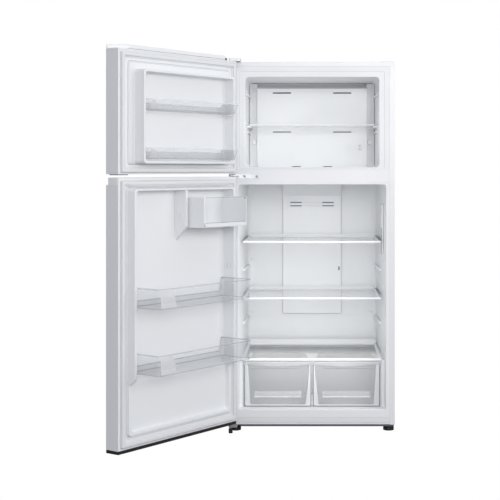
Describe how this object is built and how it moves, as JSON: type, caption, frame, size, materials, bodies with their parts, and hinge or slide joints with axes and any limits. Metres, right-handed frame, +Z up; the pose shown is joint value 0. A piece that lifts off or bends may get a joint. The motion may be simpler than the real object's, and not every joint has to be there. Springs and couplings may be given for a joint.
{
  "type": "top freezer refrigerator",
  "caption": "Upright refrigerator with a freezer above: two side-hinged doors stand open on glass shelves, door bins and crisper drawers.",
  "frame": {"origin": "on the floor, under the middle of the cabinet's width and of its depth without the doors", "axes": "+Z up, -Y to the front where the doors are, +X to the right of someone facing the front"},
  "size_m": [1.216, 1.3459, 1.704],
  "materials": {
    "white_paint": "smooth gloss enamel",
    "liner_plastic": "vacuum formed, satin gloss",
    "moulded_white": "injection moulded, satin",
    "clear_plastic": "clear moulded",
    "shelf_glass": "tempered, polished",
    "hinge_steel": "plated",
    "galvanised": "galvanised sheet",
    "black_paint": "semi-gloss black",
    "black_plastic": "moulded, fine grain",
    "dark_rubber": "matte",
    "seal_vinyl": "soft white vinyl",
    "foam": "rigid polyurethane foam",
    "fin_aluminium": "bare",
    "heater_glass": "quartz tube"
  },
  "bodies": {
    "cabinet": {"cabinet_shell": "white_paint", "back_panel": "galvanised", "bottom_panel": "galvanised", "cabinet_foam": "foam", "freezer_liner": "liner_plastic", "fridge_liner": "liner_plastic", "centre_rail": "white_paint", "front_rail": "white_paint", "base_plate": "galvanised", "compressor_cover": "galvanised", "compressor": "black_paint", "compressor_mounts": "dark_rubber", "condenser_coil": "black_paint", "drain_pan": "moulded_white", "drain_tube": "black_plastic", "evaporator_coil": "fin_aluminium", "defrost_heater": "heater_glass", "fan_motor": "black_plastic", "freezer_back_cover": "moulded_white", "fridge_duct_cover": "moulded_white", "side_lamp": "moulded_white", "top_hinge": "hinge_steel", "top_hinge_cover": "moulded_white", "corner_cap": "moulded_white", "centre_hinge": "hinge_steel", "bottom_hinge": "hinge_steel", "hinge_screws": "hinge_steel", "cord_inlet": "dark_rubber"},
    "evaporator_fan": {"evaporator_fan": "black_plastic"},
    "air_control": {"air_control": "moulded_white"},
    "left_roller": {"left_roller": "black_plastic"},
    "right_roller": {"right_roller": "black_plastic"},
    "left_foot": {"left_foot": "black_plastic"},
    "right_foot": {"right_foot": "black_plastic"},
    "hinge_foot": {"hinge_foot": "black_plastic"},
    "freezer_shelf": {"freezer_shelf": "clear_plastic"},
    "upper_shelf": {"upper_shelf": "shelf_glass", "upper_trim": "moulded_white"},
    "middle_shelf": {"middle_shelf": "shelf_glass", "middle_trim": "moulded_white"},
    "crisper_cover": {"crisper_cover": "shelf_glass", "cover_trim": "moulded_white"},
    "left_crisper": {"left_crisper": "clear_plastic"},
    "right_crisper": {"right_crisper": "clear_plastic"},
    "freezer_door": {"freezer_door_skin": "white_paint", "freezer_door_foam": "foam", "freezer_door_liner": "liner_plastic", "freezer_door_seal": "seal_vinyl", "freezer_door_caps": "moulded_white"},
    "freezer_top_bin": {"freezer_top_bin": "clear_plastic"},
    "freezer_bottom_bin": {"freezer_bottom_bin": "clear_plastic"},
    "fridge_door": {"fridge_door_skin": "white_paint", "fridge_door_foam": "foam", "fridge_door_liner": "liner_plastic", "fridge_door_seal": "seal_vinyl", "fridge_door_caps": "moulded_white"},
    "fridge_top_bin": {"fridge_top_bin": "clear_plastic"},
    "fridge_bottom_bin": {"fridge_bottom_bin": "clear_plastic"},
    "dairy_box": {"dairy_box": "moulded_white"},
    "dairy_flap": {"dairy_flap": "clear_plastic"}
  },
  "joints": [
    {"name": "freezer_door_hinge", "type": "hinge", "parent": "cabinet", "child": "freezer_door", "pos_m": [-0.3691, -0.3692, 1.4], "axis": [0, 0, -1], "range_deg": [-125.5, 8]},
    {"name": "fridge_door_hinge", "type": "hinge", "parent": "cabinet", "child": "fridge_door", "pos_m": [-0.3691, -0.3692, 0.6], "axis": [0, 0, -1], "range_deg": [-125.5, 8]},
    {"name": "freezer_shelf_slide", "type": "slide", "parent": "cabinet", "child": "freezer_shelf", "axis": [0, -1, 0], "range_m": [0, 0.2]},
    {"name": "upper_shelf_slide", "type": "slide", "parent": "cabinet", "child": "upper_shelf", "axis": [0, -1, 0], "range_m": [0, 0.25]},
    {"name": "middle_shelf_slide", "type": "slide", "parent": "cabinet", "child": "middle_shelf", "axis": [0, -1, 0], "range_m": [0, 0.25]},
    {"name": "crisper_cover_slide", "type": "slide", "parent": "cabinet", "child": "crisper_cover", "axis": [0, -1, 0], "range_m": [0, 0.25]},
    {"name": "left_crisper_slide", "type": "slide", "parent": "cabinet", "child": "left_crisper", "axis": [0, -1, 0], "range_m": [0, 0.28]},
    {"name": "right_crisper_slide", "type": "slide", "parent": "cabinet", "child": "right_crisper", "axis": [0, -1, 0], "range_m": [0, 0.28]},
    {"name": "freezer_top_bin_lift", "type": "slide", "parent": "freezer_door", "child": "freezer_top_bin", "axis": [0, 0, 1], "range_m": [0, 0.04]},
    {"name": "freezer_bottom_bin_lift", "type": "slide", "parent": "freezer_door", "child": "freezer_bottom_bin", "axis": [0, 0, 1], "range_m": [0, 0.04]},
    {"name": "fridge_top_bin_lift", "type": "slide", "parent": "fridge_door", "child": "fridge_top_bin", "axis": [0, 0, 1], "range_m": [0, 0.04]},
    {"name": "fridge_bottom_bin_lift", "type": "slide", "parent": "fridge_door", "child": "fridge_bottom_bin", "axis": [0, 0, 1], "range_m": [0, 0.04]},
    {"name": "dairy_box_lift", "type": "slide", "parent": "fridge_door", "child": "dairy_box", "axis": [0, 0, 1], "range_m": [0, 0.025]},
    {"name": "dairy_flap_hinge", "type": "hinge", "parent": "dairy_box", "child": "dairy_flap", "pos_m": [-0.3786, -0.62602, 1.07], "axis": [-0.5807, -0.8141, 0], "range_deg": [0, 85]},
    {"name": "air_control_slide", "type": "slide", "parent": "cabinet", "child": "air_control", "axis": [0, 0, 1], "range_m": [-0.008, 0.008]},
    {"name": "evaporator_fan_spin", "type": "hinge", "parent": "cabinet", "child": "evaporator_fan", "pos_m": [0, 0.08, 1.543], "axis": [0, 1, 0], "continuous": true},
    {"name": "left_roller_spin", "type": "hinge", "parent": "cabinet", "child": "left_roller", "pos_m": [-0.33, 0.28, 0.014], "axis": [1, 0, 0], "continuous": true},
    {"name": "right_roller_spin", "type": "hinge", "parent": "cabinet", "child": "right_roller", "pos_m": [0.33, 0.28, 0.014], "axis": [1, 0, 0], "continuous": true},
    {"name": "left_foot_turn", "type": "hinge", "parent": "cabinet", "child": "left_foot", "pos_m": [-0.351, -0.295, 0.01], "axis": [0, 0, 1], "continuous": true},
    {"name": "right_foot_turn", "type": "hinge", "parent": "cabinet", "child": "right_foot", "pos_m": [0.351, -0.295, 0.01], "axis": [0, 0, 1], "continuous": true},
    {"name": "hinge_foot_turn", "type": "hinge", "parent": "cabinet", "child": "hinge_foot", "pos_m": [-0.3691, -0.3692, 0.01], "axis": [0, 0, 1], "continuous": true}
  ]
}
